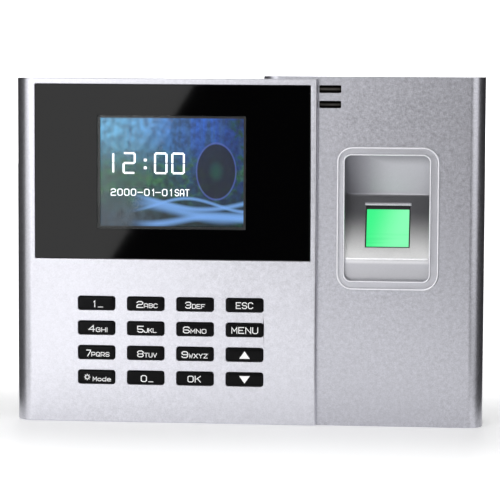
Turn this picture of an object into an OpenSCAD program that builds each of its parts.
// Wall-mounted fingerprint terminal: two overlapping front covers and a rear
// housing, hung on a steel wall plate.
//
// Millimetres. Inside the modules x runs from the left edge of the body, y runs
// back from the face of the left cover, and z runs up from the bottom edge.
// in_frame() then moves each piece so that the origin is the middle of the
// bottom of the whole terminal.

/* [Body] */
// Overall width
body_w = 187; // [186:0.5:190]
// Overall height, which is the height of the right cover
body_h = 139; // [138.5:0.25:141]
// Depth of the front covers, from the face of the left one
cover_depth = 16; // [15.8:0.1:16.2]
// Depth of the whole housing without the wall plate
housing_depth = 32.8; // [32.6:0.1:33]
// Wall thickness of the covers and of the housing
wall = 2.2; // [2:0.1:2.3]

/* [Left cover] */
// Width of the left cover's face
left_w = 121.1; // [120.8:0.1:121.4]
// Bottom edge of the left cover
left_z0 = 0.2; // [0:0.1:0.4]
// Top edge of the left cover
left_z1 = 137.9; // [137.5:0.1:138.2]
// Radius of the rounded left edge
left_round = 7; // [6:0.5:8]
// Bevel along the right edge of the face
left_bevel = 0.8; // [0.4:0.1:1]

/* [Right cover] */
// Where the right cover starts, behind the left one
right_x0 = 99; // [98.8:0.1:99.2]
// How far the right cover's face lies behind the left one's
right_front = 2.5; // [2.5:0.1:2.8]
// Radius of its hidden left edge
right_round_in = 6.5; // [6:0.5:6.5]
// Radius of its right edge
right_round_out = 6; // [5:0.5:7]

/* [Display] */
// Left edge of the lens
lens_x0 = 8.05; // [8:0.05:9]
// Bottom edge of the lens
lens_z0 = 65.85; // [65.5:0.05:66]
// Width of the lens
lens_w = 110.25; // [109:0.25:110.5]
// Height of the lens
lens_h = 69.65; // [69:0.05:69.8]
// Width of the lit area
view_w = 57.6; // [57:0.1:58]
// Height of the lit area
view_h = 43.2; // [43:0.1:44]
// Middle of the lit area, from the left edge
view_x = 62.9; // [62:0.1:64]
// Middle of the lit area, above the bottom edge
view_z = 100.5; // [100:0.1:101]

/* [Keypad] */
// Width of a key
key_w = 14.45; // [14:0.05:14.6]
// Height of a key
key_h = 5.1; // [4.9:0.1:5.3]
// Corner radius of a key
key_r = 0.8; // [0.5:0.1:1]
// Middle of the first column
key_x0 = 32.9; // [32.5:0.1:33]
// Middle of the bottom row
key_z0 = 18.2; // [18:0.1:18.5]
// Spacing of the columns
key_dx = 19.87; // [19.8:0.01:19.9]
// Spacing of the rows
key_dz = 9.93; // [9.9:0.01:10]
// How far a key stands out of the cover
key_proud = 0.8; // [0.6:0.1:1]
// How far a key goes in
key_travel = 0.8; // [0.6:0.1:0.8]

/* [Finger guide] */
// Left edge of the ring
guide_x0 = 128.6; // [128.5:0.1:129]
// Bottom edge of the ring
guide_z0 = 54.5; // [54:0.1:55]
// Width of the ring
guide_w = 40.7; // [40:0.1:41]
// Height of the ring
guide_h = 57; // [56.5:0.1:57.5]
// Width of the ring's band
guide_band = 3.6; // [3.5:0.05:3.7]
// How far the ring stands out of the right cover
guide_proud = 0.8; // [0.6:0.1:1]

/* [Wall plate] */
// Thickness of the steel
plate_t = 1.2; // [1:0.1:1.2]
// Distance between the wall screws, across
screw_dx = 120; // [118:1:122]
// Distance between the wall screws, upwards
screw_dz = 50; // [48:1:52]
// Distance between the two wall box screws
box_dx = 60; // [58:1:62]
// Diameter of the wall screw holes
screw_hole_d = 4.5; // [4:0.1:5]
// How far the terminal lifts before it comes off the hooks
lift = 4.5; // [4.4:0.1:4.6]

/* [Hidden] */
$fn = 48;
eps = 0.05;

// Depths of the layers, from front to back
plate_back = 33.2;
depth_mid = (plate_back - key_proud) / 2;
inner_back = 27.4;
pocket_floor = 29.4;
rear_skin = housing_depth - wall;
rear_inset = 0.5;
rear_h = 137.4;
rear_round = 4;
pcb_front = 14.6;
pcb_back = 16.2;
keypad_pcb_front = 7.2;
keypad_pcb_back = 8.8;

// Display stack
lens_front = 0.1;
lens_back = 1.3;
lens_seat = 1.5;
lens_gap = 0.1;
window_margin = 1;
lcd_x0 = 26.1;
lcd_w = 69.2;
lcd_h = 50;
lcd_front = 2.3;
lcd_back = 5.1;

// Keypad: names run from the top row down, left to right
KEY_NAMES = [
    "key_1", "key_2", "key_3", "key_esc",
    "key_4", "key_5", "key_6", "key_menu",
    "key_7", "key_8", "key_9", "key_up",
    "key_mode", "key_0", "key_ok", "key_down"
];
key_columns = 4;
key_rows = 4;
key_gap = 0.18;
flange_front = 2.45;
flange_back = 3.2;
flange_margin = 0.85;
stem_w = 5;
stem_h = 2.4;
stem_back = 5;
mat_front = 6.2;
dome_front = 4.4;
dome_margin = 0.8;
dome_wall = 1.2;
keypad_post_r = 2;

// Finger recess: depth and height of the floor's corners, from the top down
guide_front = right_front - guide_proud;
recess_x0 = guide_x0 + guide_band - 0.3;
recess_x1 = guide_x0 + guide_w - guide_band - 0.4;
recess_z0 = guide_z0 + guide_band + 0.2;
recess_z1 = guide_z0 + guide_h - guide_band;
recess_r = 2.6;
guide_wall = 1.8;
rim_depth = 5;
valley_y = 14;
valley_z = 91.9;
ridge_y = 4;
ridge_z = 66.6;
chin_y = 4.5;
tilt = atan((valley_y - ridge_y) / (valley_z - ridge_z));

// Sensor module: the middle of its window on the sloping floor
sensor_x = 148.7;
sensor_z = 79.3;
sensor_y = ridge_y + (sensor_z - ridge_z) * tan(tilt);
sensor_win_w = 17.8;
sensor_win_h = 17.4;
sensor_lip_w = 18.6;
sensor_lip_h = 1.2;
sensor_lip_proud = 0.4;
prism_w = 16.8;
prism_low = -8.2;
prism_high = 7.4;
sensor_body_back = 12.2;
sensor_board_back = 13.4;
ear_x = 14;

// Status windows
led_x0 = 121.55;
led_w = 8.65;
led_upper_z0 = 132.55;
led_upper_h = 2.95;
led_lower_z0 = 126.55;
led_lower_h = 2.8;
led_board_front = 6.5;
led_board_back = 7.7;

// Fasteners: where the cover screws and the board screws are, as [x, z]
left_posts = [[9, 9], [9, 129], [92, 131], [92, 7.5]];
right_posts = [[108, 9], [108, 130], [body_w - 7.5, 9], [body_w - 7.5, 130]];
post_r = 3;
post_back = 20;
case_screw_r = 1.45;
case_hole_r = 1.5;
case_head_seat = 22.6;
case_head_h = 2;
case_head_r = 2.9;
keypad_posts = [for (i = [0, 2], j = [0, 2]) [key_x0 + (i + 0.5) * key_dx, key_z0 + (j + 0.5) * key_dz]];
pcb_posts = [[20, 20], [93, 20], [20, 118], [93, 118]];
small_screw_r = 0.95;
small_hole_r = 1;
wire_d = 0.9;
board_end = [96, 18.4];

// Boards and ports
pcb_x0 = 15;
pcb_x1 = 97;
pcb_z0 = 4;
pcb_z1 = 123;
usb_x0 = 20.6;
usb_w = 13.2;
usb_h = 5.7;
usb_z0 = 0.8;
usb_l = 14;
jack_x0 = 44;
jack_w = 16.2;
jack_z0 = 46.5;
jack_h = 13.5;
jack_back = 29;
terminal_x0 = 62.5;
terminal_pitch = 5.08;
terminal_poles = 4;
terminal_z0 = 48;
terminal_h = 11;
terminal_back = 28.4;
port_x0 = 42.5;
port_x1 = 84.5;
port_z0 = 36;
port_z1 = 61.5;
speaker_x = 125;
speaker_z = 42;
speaker_r = 14;
tamper_x = 86;
tamper_z = 80;
tamper_r = 1.3;
tamper_gap = 0.08;
tamper_travel = 1.2;
tamper_tip = 31.7;
reset_x = 64;
reset_y = 19.4;
reset_r = 1.5;
reset_gap = 0.05;
reset_travel = 0.3;

// Wall plate
plate_front = plate_back - plate_t;
plate_x0 = 23.5;
plate_x1 = 163.5;
plate_z0 = 17;
plate_z1 = 125;
plate_mid = (plate_x0 + plate_x1) / 2;
plate_gap = 0.6;
screw_z = 71;
box_screw_z = 88;
hooks = [[36, 25], [151, 25], [36, 112], [151, 112]];
hook_w = 10;
hook_lip = 4;
hook_back_gap = 0.3;
tab_x = 125;
tab_w = 13;
tab_z0 = 10;
tab_front = 23.5;
lock_y = 27;
lock_r = 1.5;

FIXED_NODES = [
    "left_cover", "right_cover", "rear_housing",
    "display_lens", "lens_adhesive", "lcd_frame", "lcd_panel", "lcd_flex",
    "keypad_mat", "keypad_pcb", "keypad_flex",
    "main_pcb", "processor", "memory_chips", "capacitors", "board_sockets",
    "coin_cell_holder", "coin_cell",
    "finger_guide", "sensor_housing", "sensor_prism", "sensor_lens", "sensor_pcb", "sensor_cable",
    "led_window_upper", "led_window_lower", "led_board", "led_cable",
    "speaker_basket", "speaker_cone", "speaker_wires",
    "usb_port", "ethernet_jack", "terminal_block", "terminal_screws",
    "tamper_switch", "tamper_plunger", "reset_switch", "reset_button",
    "wall_plate", "lock_screw", "case_screws", "board_screws"
];

// ---------------------------------------------------------------- helpers

// Moves a piece from the body's own corner to the terminal's origin
module in_frame() {
    translate([-body_w / 2, -depth_mid, 0]) children();
}

// Draws an x, z outline and gives it the depth from y0 to y1
module along_y(y0, y1) {
    translate([0, y1, 0]) rotate([90, 0, 0]) linear_extrude(y1 - y0) children();
}

// Draws a y, z outline and gives it the width from x0 to x1
module along_x(x0, x1) {
    translate([x0, 0, 0]) rotate([90, 0, 90]) linear_extrude(x1 - x0) children();
}

// Draws an x, y outline and gives it the height from z0 to z1
module along_z(z0, z1) {
    translate([0, 0, z0]) linear_extrude(z1 - z0) children();
}

module box(low, high) {
    translate(low) cube(high - low);
}

// A round bar or hole along y
module rod_y(x, z, r, y0, y1) {
    translate([x, y1, z]) rotate([90, 0, 0]) cylinder(r = r, h = y1 - y0);
}

module rounded_rect(x0, z0, w, h, r) {
    translate([x0 + r, z0]) square([w - 2 * r, h]);
    translate([x0, z0 + r]) square([w, h - 2 * r]);
    for (x = [x0 + r, x0 + w - r], z = [z0 + r, z0 + h - r]) translate([x, z]) circle(r);
}

// An outline of a shell that is open at the back and has two rounded front edges
module shell_outline(x0, x1, front, back, r0, r1, inset) {
    translate([x0 + r0, front + inset]) square([x1 - x0 - r0 - r1, back - front - inset]);
    translate([x0 + inset, front + r0]) square([r0 - inset + eps, back - front - r0]);
    translate([x1 - r1 - eps, front + r1]) square([r1 - inset + eps, back - front - r1]);
    translate([x0 + r0, front + r0]) circle(r0 - inset);
    translate([x1 - r1, front + r1]) circle(r1 - inset);
}

// A thin strip along a list of points, with round bends
module strip(points, thickness) {
    for (i = [0 : len(points) - 2]) {
        a = points[i];
        b = points[i + 1];
        translate(a) rotate(atan2(b[1] - a[1], b[0] - a[0])) translate([0, -thickness / 2])
            square([norm(b - a), thickness]);
    }
    for (p = points) translate(p) circle(d = thickness);
}

// A wire that keeps its height z along a list of x, y points
module wire(points, z) {
    along_z(z, z + wire_d) strip(points, wire_d);
}

// A pan-head screw with a cross recess, its head at the origin and its shank along -y
module screw_y(x, z, y_seat, head_r, head_h, shank_r, shank_l) {
    difference() {
        union() {
            rod_y(x, z, head_r, y_seat, y_seat + head_h);
            rod_y(x, z, shank_r, y_seat - shank_l, y_seat + eps);
        }
        for (turn = [0, 90])
            translate([x, y_seat + head_h, z]) rotate([0, turn, 0])
                cube([head_r * 1.3, head_h, head_r * 0.28], center = true);
    }
}

// Rounds the inner corners of a path: each corner i gets radius radii[i]
function unit(v) = v / norm(v);
function corner(p, q, s, r) =
    let (
        u = unit(p - q),
        v = unit(s - q),
        half = acos(u * v) / 2,
        reach = r / tan(half),
        a = q + u * reach,
        b = q + v * reach,
        centre = q + unit(u + v) * r / sin(half),
        steps = 8
    )
    [for (i = [0 : steps])
        let (m = a + (b - a) * i / steps)
        centre + unit(m - centre) * r];
function rounded_path(points, radii) = [
    for (i = [0 : len(points) - 1])
        each (radii[i] == 0
            ? [points[i]]
            : corner(points[i - 1], points[i], points[i + 1], radii[i]))
];

// ----------------------------------------------------------------- covers

module right_outline(inset) {
    shell_outline(right_x0, body_w, right_front, cover_depth, right_round_in, right_round_out, inset);
}

module left_outline(inset) {
    reach = right_x0 + 3;
    shell_outline(0, reach, 0, cover_depth, left_round, left_round, inset);
    translate([reach - left_round - eps, inset])
        square([left_round + eps, cover_depth - inset]);
}

module left_face_outline() {
    difference() {
        union() {
            left_outline(0);
            translate([left_round, 0]) square([left_w - left_round, wall]);
        }
        translate([left_w, 0]) rotate(45) square(left_bevel * sqrt(2), center = true);
        // room for the right cover, which reaches in behind this one
        right_outline(wall - right_front);
    }
}

module key_openings() {
    for (i = [0 : key_columns - 1], j = [0 : key_rows - 1])
        rounded_rect(
            key_x0 + i * key_dx - key_w / 2 - key_gap,
            key_z0 + j * key_dz - key_h / 2 - key_gap,
            key_w + 2 * key_gap, key_h + 2 * key_gap, key_r + key_gap);
}

module left_cover() {
    color("gainsboro") in_frame() difference() {
        union() {
            difference() {
                along_z(left_z0, left_z1) left_face_outline();
                along_z(left_z0 + wall, left_z1 - wall) {
                    left_outline(wall);
                    translate([right_x0, wall]) square([left_w - right_x0, cover_depth]);
                    translate([left_round, cover_depth - eps]) square([right_x0, 1]);
                }
            }
            for (p = left_posts) rod_y(p[0], p[1], post_r, wall - 0.2, post_back);
            for (p = keypad_posts) rod_y(p[0], p[1], keypad_post_r, wall - 0.2, keypad_pcb_front);
            // rails above and below the display
            for (z = [view_z - lcd_h / 2 - 1.4, view_z + lcd_h / 2 + 0.2])
                box([30, wall - 0.2, z], [91, lcd_back - 0.3, z + 1.2]);
        }
        along_y(-1, lens_seat) rounded_rect(lens_x0, lens_z0, lens_w, lens_h, 0.4);
        along_y(0, wall + eps)
            rounded_rect(
                view_x - view_w / 2 - window_margin, view_z - view_h / 2 - window_margin,
                view_w + 2 * window_margin, view_h + 2 * window_margin, 0.5);
        along_y(-1, wall + eps) key_openings();
        for (p = left_posts) rod_y(p[0], p[1], case_hole_r, 9, post_back + 1);
        for (p = keypad_posts) rod_y(p[0], p[1], small_hole_r, wall + 1, keypad_pcb_front + 1);
    }
}

module right_cover() {
    color("silver") in_frame() difference() {
        union() {
            difference() {
                along_z(0, body_h) right_outline(0);
                along_z(wall, body_h - wall) {
                    right_outline(wall);
                    translate([right_x0 + wall, cover_depth - eps])
                        square([body_w - right_x0 - 2 * wall, 1]);
                }
            }
            for (p = right_posts) rod_y(p[0], p[1], post_r, right_front + 2, post_back);
            for (x = [117.5, 134.5]) rod_y(x, 131, 1.6, right_front + 2, led_board_front);
        }
        along_y(0, right_front + wall + eps)
            rounded_rect(
                recess_x0 - guide_wall - 0.15, recess_z0 - guide_wall - 0.15,
                recess_x1 - recess_x0 + 2 * guide_wall + 0.3,
                recess_z1 - recess_z0 + 2 * guide_wall + 0.3, recess_r + guide_wall);
        along_y(0, right_front + wall + eps) {
            rounded_rect(led_x0, led_upper_z0, led_w, led_upper_h, 0.5);
            rounded_rect(led_x0, led_lower_z0, led_w, led_lower_h, 0.5);
        }
        for (p = right_posts) rod_y(p[0], p[1], case_hole_r, 9, post_back + 1);
        for (x = [117.5, 134.5]) rod_y(x, 131, small_hole_r, right_front + wall + 0.1, led_board_front + 1);
    }
}

// ----------------------------------------------------------- rear housing

module rear_outline(inset) {
    x0 = rear_inset;
    x1 = body_w - rear_inset;
    bend = housing_depth - rear_round;
    translate([x0 + inset, cover_depth]) square([x1 - x0 - 2 * inset, bend - cover_depth]);
    translate([x0 + rear_round, cover_depth])
        square([x1 - x0 - 2 * rear_round, housing_depth - cover_depth - inset]);
    for (x = [x0 + rear_round, x1 - rear_round]) translate([x, bend]) circle(rear_round - inset);
}

// The pocket that the wall plate sits in, with room below it for the lift
module plate_pocket(grow, y0, y1) {
    along_y(y0, y1)
        rounded_rect(
            plate_x0 - plate_gap - grow, plate_z0 - lift - plate_gap - grow,
            plate_x1 - plate_x0 + 2 * (plate_gap + grow),
            plate_z1 - plate_z0 + lift + 2 * (plate_gap + grow), 3 + grow);
}

module speaker_slots() {
    pitch = 3.6;
    intersection() {
        translate([speaker_x, speaker_z]) circle(speaker_r - 2.5);
        for (i = [-3 : 3])
            translate([speaker_x + i * pitch - 0.8, speaker_z - speaker_r]) square([1.6, 2 * speaker_r]);
    }
}

module rear_housing() {
    color("dimgray") in_frame() difference() {
        union() {
            difference() {
                along_z(0, rear_h) rear_outline(0);
                box([rear_inset + wall, cover_depth - 1, wall],
                    [body_w - rear_inset - wall, inner_back, rear_h - wall]);
                difference() {
                    along_z(wall, rear_h - wall) rear_outline(wall);
                    plate_pocket(2, cover_depth - 1, housing_depth + 1);
                }
            }
            for (p = concat(left_posts, right_posts))
                rod_y(p[0], p[1], 4.4, post_back + eps, housing_depth - 1);
            for (p = pcb_posts) rod_y(p[0], p[1], 2.75, pcb_back, inner_back + 1);
            // seat of the speaker
            difference() {
                rod_y(speaker_x, speaker_z, speaker_r + 1.5, 24, inner_back + 1);
                rod_y(speaker_x, speaker_z, speaker_r + 0.3, 20, inner_back);
            }
            // boss of the lock screw
            box([tab_x - 5, lock_y - 5, wall - 0.5], [tab_x + 5, lock_y + 4.5, 4.4]);
        }
        plate_pocket(0, pocket_floor, housing_depth + 1);
        // ports
        along_y(cover_depth, pocket_floor + 1)
            translate([port_x0, port_z0]) square([port_x1 - port_x0, port_z1 - port_z0]);
        box([usb_x0 - 0.6, cover_depth - 1, -1], [usb_x0 + usb_w + 0.6, 22.6, wall + 0.2]);
        translate([reset_x, reset_y, -1]) cylinder(r = 1.2, h = wall + 2);
        along_y(inner_back - 1, pocket_floor + 1) speaker_slots();
        rod_y(tamper_x, tamper_z, tamper_r + 0.5, inner_back - 1, pocket_floor + 1);
        // hook slots
        for (h = hooks)
            box([h[0] - hook_w / 2 - 0.4, inner_back - 1, h[1] - lift - 0.2],
                [h[0] + hook_w / 2 + 0.4, pocket_floor + 1, h[1] + plate_t + eps]);
        // way in for the lock tab
        box([tab_x - tab_w / 2 - 0.5, inner_back - 3, tab_z0 - lift - 0.3],
            [tab_x + tab_w / 2 + 0.5, housing_depth + 1, plate_z0 - lift]);
        // lock screw, from below
        translate([tab_x, lock_y, -1]) cylinder(r = lock_r + 0.2, h = 8);
        translate([tab_x, lock_y, -1]) cylinder(r = 3.1, h = 3.3);
        for (p = concat(left_posts, right_posts)) {
            rod_y(p[0], p[1], case_head_r + 0.3, case_head_seat, housing_depth + 1);
            rod_y(p[0], p[1], case_screw_r + 0.2, post_back - 1, case_head_seat + 1);
        }
        for (p = pcb_posts) rod_y(p[0], p[1], small_hole_r, pcb_back - 1, pcb_back + 6);
    }
}

// ---------------------------------------------------------------- display

module display_lens() {
    color("black") in_frame() along_y(lens_front, lens_back)
        rounded_rect(lens_x0 + lens_gap, lens_z0 + lens_gap, lens_w - 2 * lens_gap, lens_h - 2 * lens_gap, 0.3);
}

module lens_adhesive() {
    edge = window_margin + 0.6;
    color("darkslategray") in_frame() along_y(lens_back, lens_seat) difference() {
        rounded_rect(lens_x0 + 0.6, lens_z0 + 0.6, lens_w - 1.2, lens_h - 1.2, 0.3);
        translate([view_x - view_w / 2 - edge, view_z - view_h / 2 - edge])
            square([view_w + 2 * edge, view_h + 2 * edge]);
    }
}

module lcd_frame() {
    z0 = view_z - lcd_h / 2;
    color("lightgray") in_frame() difference() {
        box([lcd_x0, lcd_front, z0], [lcd_x0 + lcd_w, lcd_back, z0 + lcd_h]);
        box([lcd_x0 + 1, lcd_front + 0.2, z0 + 1], [lcd_x0 + lcd_w - 1, lcd_front + 1.9, z0 + lcd_h - 1]);
        box([view_x - view_w / 2 - 0.5, 0, view_z - view_h / 2 - 0.5],
            [view_x + view_w / 2 + 0.5, lcd_front + 1, view_z + view_h / 2 + 0.5]);
    }
}

module lcd_panel() {
    z0 = view_z - lcd_h / 2;
    color("royalblue") in_frame()
        box([lcd_x0 + 1.2, lcd_front + 0.25, z0 + 1.2], [lcd_x0 + lcd_w - 1.2, lcd_front + 1.85, z0 + lcd_h - 1.2]);
}

module lcd_flex() {
    route = [[29, 5.3], [24.6, 5.3], [22.6, 7.6], [22.6, 11.4], [24.8, 13.9], [30, 13.9]];
    color("darkorange") in_frame() along_z(view_z - 9, view_z + 9) strip(route, 0.3);
}

// ----------------------------------------------------------------- keypad

// One key: i counts from the top left, along each row
module keycap(i) {
    x = key_x0 + (i % key_columns) * key_dx;
    z = key_z0 + (key_rows - 1 - floor(i / key_columns)) * key_dz;
    w = key_w + 2 * flange_margin;
    h = key_h + 2 * flange_margin;
    color("black") in_frame() {
        along_y(-key_proud, flange_front + eps) rounded_rect(x - key_w / 2, z - key_h / 2, key_w, key_h, key_r);
        along_y(flange_front, flange_back) rounded_rect(x - w / 2, z - h / 2, w, h, key_r);
        along_y(flange_back - eps, stem_back)
            translate([x - stem_w / 2, z - stem_h / 2]) square([stem_w, stem_h]);
    }
}

module dome_outline(grow) {
    w = stem_w + 2 * (dome_margin + grow);
    h = stem_h + 2 * (dome_margin + grow);
    for (i = [0 : key_columns - 1], j = [0 : key_rows - 1])
        rounded_rect(key_x0 + i * key_dx - w / 2, key_z0 + j * key_dz - h / 2, w, h, 0.5 + grow);
}

module keypad_mat() {
    color("lightsteelblue") in_frame() difference() {
        union() {
            along_y(mat_front, keypad_pcb_front) rounded_rect(21.5, 11.5, 75.8, 43, 2);
            along_y(dome_front, mat_front + eps) dome_outline(dome_wall);
        }
        along_y(dome_front - 1, mat_front) dome_outline(0);
        for (p = keypad_posts) rod_y(p[0], p[1], keypad_post_r + 0.3, 0, 10);
    }
}

module keypad_pcb() {
    color("darkgreen") in_frame() {
        difference() {
            along_y(keypad_pcb_front, keypad_pcb_back) rounded_rect(20.5, 10.5, 77, 45, 1);
            for (p = keypad_posts) rod_y(p[0], p[1], small_hole_r + 0.1, 0, 10);
        }
        // socket of the flex
        box([73, keypad_pcb_back, 46.5], [87, keypad_pcb_back + 1.6, 51]);
    }
}

module keypad_flex() {
    route = [[9.7, 50.5], [9.7, 57], [11.5, 59.4], [13.4, 57], [13.4, 52.5]];
    color("darkorange") in_frame() along_x(74, 86) difference() {
        strip(route, 0.3);
        translate([9, 49]) square([1.6, 2.05]);
        translate([12.6, 50.5]) square([1.6, 2.05]);
    }
}

// ------------------------------------------------------------- main board

module main_pcb() {
    color("darkgreen") in_frame() difference() {
        along_y(pcb_front, pcb_back) difference() {
            rounded_rect(pcb_x0, pcb_z0, pcb_x1 - pcb_x0, pcb_z1 - pcb_z0, 1);
            translate([85, 0]) square([20, 14]);
        }
        for (p = pcb_posts) rod_y(p[0], p[1], small_hole_r + 0.1, 10, 20);
    }
}

module chip(x, z, w, h, t) {
    box([x, pcb_front - t, z], [x + w, pcb_front, z + h]);
}

module processor() {
    color("black") in_frame() difference() {
        chip(58, 68, 16, 16, 1.4);
        rod_y(60, 82, 0.6, 0, pcb_front - 1.2);
    }
}

module memory_chips() {
    color("black") in_frame() {
        chip(36, 68, 18, 8, 1);
        chip(36, 80, 18, 8, 1);
        chip(80, 70, 8, 5, 1.5);
    }
}

module capacitors() {
    color("steelblue") in_frame() for (p = [[22, 40], [22, 50], [33, 31]])
        rod_y(p[0], p[1], 3.2, pcb_back, pcb_back + 6.5);
}

// Sockets of the flexes on the front of the board, and of the wires on its back
module board_sockets() {
    color("ivory") in_frame() {
        difference() {
            chip(30, view_z - 10, 4, 20, 1.6);
            box([29, 13.6, view_z - 9.2], [31.5, 14.2, view_z + 9.2]);
        }
        difference() {
            chip(73, 47, 14, 5.6, 2);
            box([73.8, 13, 51], [86.2, 13.8, 53]);
        }
        for (s = [[50.4, 4.6], [65, 8], [109.6, 5.6]])
            difference() {
                box([89.5, pcb_back, s[0]], [95.5, pcb_back + 4, s[0] + s[1]]);
                box([91, pcb_back + 1, s[0] + 0.8], [96, pcb_back + 3.4, s[0] + s[1] - 0.8]);
            }
    }
}

module coin_cell_holder() {
    color("dimgray") in_frame() difference() {
        along_y(pcb_back, pcb_back + 3.4) rounded_rect(25, 68, 24, 24, 2);
        rod_y(37, 80, 10.2, pcb_back + 0.8, pcb_back + 5);
        box([33, pcb_back + 0.8, 66], [41, pcb_back + 5, 72]);
    }
}

module coin_cell() {
    color("silver") in_frame() rod_y(37, 80, 10, pcb_back + 0.8, pcb_back + 4);
}

// ----------------------------------------------------------- finger guide

// The y, z path of the recess floor, pushed back by the given amount
function floor_path(back) = rounded_path(
    [
        [rim_depth + back, recess_z1 + 4],
        [rim_depth + back, recess_z1],
        [valley_y + back, valley_z],
        [ridge_y + back, ridge_z],
        [chin_y + back, recess_z0],
        [chin_y + back, recess_z0 - 4]
    ],
    [0, 0, 1.2, 3, 0, 0]);

module floor_zone(back) {
    polygon(concat([[0, recess_z0 - 4], [0, recess_z1 + 4]], floor_path(back)));
}

module recess_outline(grow) {
    rounded_rect(
        recess_x0 - grow, recess_z0 - grow,
        recess_x1 - recess_x0 + 2 * grow, recess_z1 - recess_z0 + 2 * grow, recess_r + grow);
}

// Puts a piece in the sensor's own frame: x across, y into the body, z up the slope
module in_sensor() {
    translate([sensor_x, sensor_y, sensor_z]) rotate([-tilt, 0, 0]) children();
}

module guide_shell() {
    bead = 0.9;
    ring_r = 6.4;
    difference() {
        union() {
            // ring: outer bead, band and inner bead
            along_y(guide_front + 0.25, right_front)
                rounded_rect(guide_x0, guide_z0, guide_w, guide_h, ring_r);
            along_y(guide_front, right_front) difference() {
                rounded_rect(guide_x0, guide_z0, guide_w, guide_h, ring_r);
                rounded_rect(guide_x0 + bead, guide_z0 + bead, guide_w - 2 * bead, guide_h - 2 * bead, ring_r - bead);
            }
            along_y(guide_front, right_front) recess_outline(0.6);
            // bowl
            intersection() {
                along_y(right_front - 0.3, inner_back) recess_outline(guide_wall);
                along_x(100, body_w) floor_zone(guide_wall + 0.2);
            }
            // snap hooks behind the cover
            for (x = [recess_x0 - guide_wall - 0.8, recess_x1 + guide_wall - 0.2], z = [66, 96])
                box([x, right_front + wall + eps, z], [x + 1, right_front + wall + 1.1, z + 5]);
            // screw bosses of the sensor module
            for (s = [-1, 1]) in_sensor() translate([s * ear_x, 4.6, 0]) rotate([90, 0, 0])
                cylinder(r = 2.2, h = 3.6);
        }
        intersection() {
            along_y(0, inner_back) recess_outline(0);
            along_x(100, body_w) floor_zone(0);
        }
        in_sensor() box([-sensor_win_w / 2, -1.5, -sensor_win_h / 2], [sensor_win_w / 2, 6, sensor_win_h / 2]);
        for (s = [-1, 1]) in_sensor() translate([s * ear_x, 5, 0]) rotate([90, 0, 0])
            cylinder(r = small_hole_r, h = 2.8);
    }
}

module finger_guide() {
    lip_z = sensor_win_h / 2 + 0.15;
    color("silver") in_frame() {
        guide_shell();
        // lip above the sensor window
        in_sensor() box([-sensor_lip_w / 2, -sensor_lip_proud, lip_z],
            [sensor_lip_w / 2, 0.8, lip_z + sensor_lip_h]);
    }
}

module sensor_housing() {
    rim = 0.1;
    color("black") in_frame() in_sensor() difference() {
        union() {
            box([-sensor_win_w / 2 + rim, 0.25, -sensor_win_h / 2 + rim],
                [sensor_win_w / 2 - rim, 2.6, sensor_win_h / 2 - rim]);
            box([-11.6, 2.5, -11], [11.6, sensor_body_back, 11]);
            box([-ear_x - 2.4, 4.65, -2.4], [ear_x + 2.4, 6.2, 2.4]);
        }
        box([-prism_w / 2 - 0.05, -1, prism_low - 0.05], [prism_w / 2 + 0.05, 9.1, prism_high + 0.05]);
        translate([0, 13, -0.5]) rotate([90, 0, 0]) cylinder(r = 3.2, h = 6);
        for (s = [-1, 1]) translate([s * ear_x, 8, 0]) rotate([90, 0, 0]) cylinder(r = small_hole_r + 0.1, h = 5);
    }
}

module sensor_prism() {
    outline = [[0.45, prism_low], [0.45, prism_high], [3.2, prism_high], [9, 1.5], [9, -2.5], [4.2, prism_low]];
    color("limegreen") in_frame() in_sensor() along_x(-prism_w / 2, prism_w / 2) polygon(outline);
}

module sensor_lens() {
    color("gray") in_frame() in_sensor() translate([0, 12.1, -0.5]) rotate([90, 0, 0]) cylinder(r = 3, h = 2.9);
}

module sensor_pcb() {
    color("darkgreen") in_frame() in_sensor() {
        box([-12.4, sensor_body_back, -11.5], [12.4, sensor_board_back, 11.5]);
        box([-10.5, sensor_board_back, -6], [-6.5, sensor_board_back + 2.4, 3]);
    }
}

module sensor_cable() {
    start = [sensor_x - 11, sensor_y + 12];
    rise = 1.5;
    color("dimgray") in_frame() for (i = [0 : 3])
        wire([start + [0, i * rise * tan(tilt)], [131, 24.5], [108, 24.5], [101, board_end[1]], board_end],
            66.4 + i * rise);
}

// --------------------------------------------------------- status windows

module led_window(z0, h) {
    gap = 0.06;
    color("saddlebrown") in_frame() {
        along_y(right_front + 0.1, right_front + wall)
            rounded_rect(led_x0 + gap, z0 + gap, led_w - 2 * gap, h - 2 * gap, 0.45);
        along_y(right_front + wall, right_front + wall + 0.7)
            rounded_rect(led_x0 - 0.6, z0 - 0.6, led_w + 1.2, h + 1.2, 0.6);
    }
}

module led_window_upper() {
    led_window(led_upper_z0, led_upper_h);
}

module led_window_lower() {
    led_window(led_lower_z0, led_lower_h);
}

module led_board() {
    color("darkgreen") in_frame() difference() {
        union() {
            box([115, led_board_front, 111], [137, led_board_back, 136.4]);
            box([118, led_board_back, 111.5], [122, led_board_back + 2.5, 117]);
            for (z = [led_upper_z0 + led_upper_h / 2, led_lower_z0 + led_lower_h / 2])
                box([124.4, led_board_front - 0.8, z - 0.8], [127.4, led_board_front + eps, z + 0.8]);
        }
        for (x = [117.5, 134.5]) rod_y(x, 131, small_hole_r + 0.1, 0, 10);
    }
}

module led_cable() {
    color("dimgray") in_frame() for (i = [0 : 2])
        wire([[117.5, 9], [114, 10], [106, 18.4], board_end], 111.5 + i);
}

// ---------------------------------------------------------------- speaker

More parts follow.
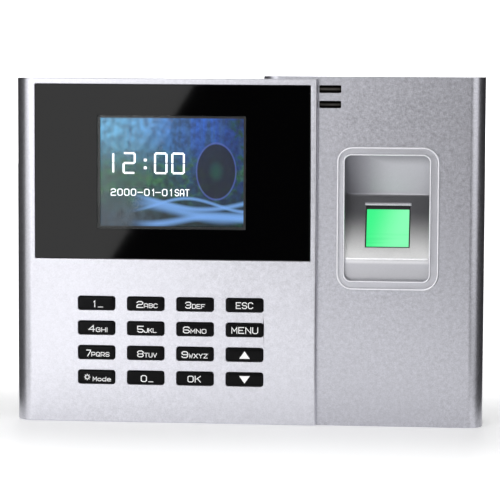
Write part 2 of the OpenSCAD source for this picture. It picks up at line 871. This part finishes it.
module speaker_basket() {
    color("silver") in_frame() translate([speaker_x, inner_back, speaker_z]) rotate([90, 0, 0]) {
        rotate_extrude() polygon([
            [speaker_r, 0], [speaker_r, 1.4], [12.6, 1.4], [9.4, 4.6],
            [9.4, 7.6], [0, 7.6], [0, 4.4], [8.2, 4.4], [11.6, 1], [12.8, 1], [12.8, 0]
        ]);
        // tag strip for the wires
        translate([-8, 8.4, 3.5]) cube([5, 4, 2]);
    }
}

module speaker_cone() {
    color("black") in_frame() translate([speaker_x, inner_back, speaker_z]) rotate([90, 0, 0])
        rotate_extrude() polygon([
            [12.7, 0.2], [12.7, 0.6], [11.4, 0.9], [5, 3.6], [3, 2.8], [0, 2.4], [0, 2], [3.2, 2.4], [5, 3.1], [11.2, 0.4]
        ]);
}

module speaker_wires() {
    color("firebrick") in_frame() for (i = [0, 1])
        wire([[speaker_x - 8.5, inner_back - 4.5], [108, 22.9], [102, board_end[1]], board_end], 51.2 + i * 1.8);
}

// ------------------------------------------------------------------ ports

module usb_port() {
    skin = 0.4;
    tongue = 1.8;
    y0 = pcb_back;
    color("silver") in_frame() {
        difference() {
            box([usb_x0, y0, usb_z0], [usb_x0 + usb_w, y0 + usb_h, usb_z0 + usb_l]);
            box([usb_x0 + skin, y0 + skin, 0], [usb_x0 + usb_w - skin, y0 + usb_h - skin, usb_z0 + usb_l - 3]);
        }
        box([usb_x0 + 1.2, y0 + 2.9, usb_z0 + 1.2], [usb_x0 + usb_w - 1.2, y0 + 2.9 + tongue, usb_z0 + usb_l - 2]);
    }
}

module ethernet_jack() {
    plug_w = 11.8;
    plug_h = 6.8;
    x = jack_x0 + (jack_w - plug_w) / 2;
    z = jack_z0 + 2.6;
    floor_y = 18.6;
    color("dimgray") in_frame() {
        difference() {
            box([jack_x0, pcb_back, jack_z0], [jack_x0 + jack_w, jack_back, jack_z0 + jack_h]);
            box([x, floor_y, z], [x + plug_w, jack_back + 1, z + plug_h]);
            box([x + 2.9, floor_y, z + plug_h - 1], [x + plug_w - 2.9, jack_back + 1, z + plug_h + 1.6]);
            box([x + 4.1, floor_y, z + plug_h], [x + plug_w - 4.1, jack_back + 1, z + plug_h + 2.9]);
        }
        for (i = [0 : 7])
            box([x + 2.2 + i * 1.02, floor_y - eps, z - eps], [x + 2.6 + i * 1.02, jack_back - 2, z + 0.4]);
    }
}

module terminal_block() {
    w = terminal_poles * terminal_pitch;
    color("seagreen") in_frame() difference() {
        box([terminal_x0, pcb_back, terminal_z0], [terminal_x0 + w, terminal_back, terminal_z0 + terminal_h]);
        for (i = [0 : terminal_poles - 1]) {
            x = terminal_x0 + (i + 0.5) * terminal_pitch;
            rod_y(x, terminal_z0 + 5.5, 1.9, 22.5, terminal_back + 1);
            box([x - 1.6, 18, terminal_z0 - 1], [x + 1.6, 21.4, terminal_z0 + 7]);
        }
    }
}

module terminal_screws() {
    color("silver") in_frame() for (i = [0 : terminal_poles - 1]) {
        x = terminal_x0 + (i + 0.5) * terminal_pitch;
        difference() {
            rod_y(x, terminal_z0 + 5.5, 1.8, 22.5, 26);
            box([x - 2, 25, terminal_z0 + 5.2], [x + 2, 27, terminal_z0 + 5.8]);
        }
    }
}

// ------------------------------------------------- tamper switch and reset

module tamper_switch() {
    color("darkred") in_frame() difference() {
        box([tamper_x - 4, pcb_back, tamper_z - 4], [tamper_x + 4, 24, tamper_z + 4]);
        rod_y(tamper_x, tamper_z, tamper_r + tamper_gap, 18, 25);
    }
}

module tamper_plunger() {
    color("white") in_frame() rod_y(tamper_x, tamper_z, tamper_r, 18 + tamper_travel + 0.4, tamper_tip);
}

module reset_switch() {
    color("silver") in_frame() difference() {
        box([reset_x - 3, pcb_back, 5.6], [reset_x + 3, 22.6, 9.4]);
        translate([reset_x, reset_y, 5]) cylinder(r = reset_r + reset_gap, h = 2.8);
    }
}

module reset_button() {
    color("black") in_frame() translate([reset_x, reset_y, 3]) cylinder(r = reset_r, h = 4.8 - reset_travel - 0.2);
}

// ------------------------------------------------------------- wall plate

module plate_outline() {
    difference() {
        union() {
            rounded_rect(plate_x0, plate_z0, plate_x1 - plate_x0, plate_z1 - plate_z0, 3);
            translate([tab_x - tab_w / 2, tab_z0]) square([tab_w, plate_z0 - tab_z0 + 4]);
        }
        // ways through for the cables and the sound
        rounded_rect(port_x0 - 0.5, port_z0 - 2, port_x1 - port_x0 + 1, port_z1 - port_z0 + 8, 3);
        rounded_rect(speaker_x - 18, speaker_z - 17, 36, 34, 3);
        rounded_rect(plate_mid - 24, 96, 48, 16, 3);
    }
}

module wall_plate() {
    lip_back = inner_back - hook_back_gap;
    lip_front = lip_back - plate_t;
    color("lightslategray") in_frame() difference() {
        union() {
            along_y(plate_front, plate_back) plate_outline();
            for (h = hooks) {
                box([h[0] - hook_w / 2, lip_front, h[1]], [h[0] + hook_w / 2, plate_front + eps, h[1] + plate_t]);
                box([h[0] - hook_w / 2, lip_front, h[1]], [h[0] + hook_w / 2, lip_back, h[1] + plate_t + hook_lip]);
            }
            box([tab_x - tab_w / 2, tab_front, tab_z0], [tab_x + tab_w / 2, plate_front + eps, tab_z0 + plate_t]);
        }
        for (x = [-1, 1], z = [-1, 1])
            rod_y(plate_mid + x * screw_dx / 2, screw_z + z * screw_dz / 2, screw_hole_d / 2, 30, 40);
        for (x = [-1, 1]) rod_y(plate_mid + x * box_dx / 2, box_screw_z, screw_hole_d / 2, 30, 40);
        translate([tab_x, lock_y, tab_z0 - 1]) cylinder(r = lock_r + 0.3, h = 4);
    }
}

module lock_screw() {
    head_z0 = 0.3;
    head_z1 = 2.25;
    color("silver") in_frame() translate([tab_x, lock_y, 0]) difference() {
        union() {
            translate([0, 0, head_z0]) cylinder(r = 2.8, h = head_z1 - head_z0);
            translate([0, 0, head_z1 - eps]) cylinder(r = lock_r, h = 10);
        }
        for (turn = [0, 90]) rotate(turn) translate([0, 0, head_z0]) cube([3.6, 0.8, 2], center = true);
    }
}

module case_screws() {
    color("silver") in_frame() for (p = concat(left_posts, right_posts))
        screw_y(p[0], p[1], case_head_seat, case_head_r, case_head_h, case_screw_r, 11);
}

// The small screws of the keypad board, the main board, the status board and the sensor
module board_screws() {
    head_r = 1.8;
    head_h = 1.2;
    length = 4;
    color("silver") in_frame() {
        for (p = keypad_posts) screw_y(p[0], p[1], keypad_pcb_back, head_r, head_h, small_screw_r, length);
        for (x = [117.5, 134.5]) screw_y(x, 131, led_board_back, head_r, head_h, small_screw_r, 2.8);
        for (p = pcb_posts)
            translate([p[0], pcb_front, p[1]]) rotate([0, 0, 180])
                screw_y(0, 0, 0, head_r, head_h, small_screw_r, length + 1.5);
        for (s = [-1, 1]) in_sensor() screw_y(s * ear_x, 0, 6.2, head_r, head_h, small_screw_r, 3.6);
    }
}

// ------------------------------------------------------------------ model

left_cover();
right_cover();
rear_housing();
display_lens();
lens_adhesive();
lcd_frame();
lcd_panel();
lcd_flex();
keypad_mat();
keypad_pcb();
keypad_flex();
main_pcb();
processor();
memory_chips();
capacitors();
board_sockets();
coin_cell_holder();
coin_cell();
finger_guide();
sensor_housing();
sensor_prism();
sensor_lens();
sensor_pcb();
sensor_cable();
led_window_upper();
led_window_lower();
led_board();
led_cable();
speaker_basket();
speaker_cone();
speaker_wires();
usb_port();
ethernet_jack();
terminal_block();
terminal_screws();
tamper_switch();
tamper_plunger();
reset_switch();
reset_button();
wall_plate();
lock_screw();
case_screws();
board_screws();
for (i = [0 : len(KEY_NAMES) - 1])
    keycap(i);
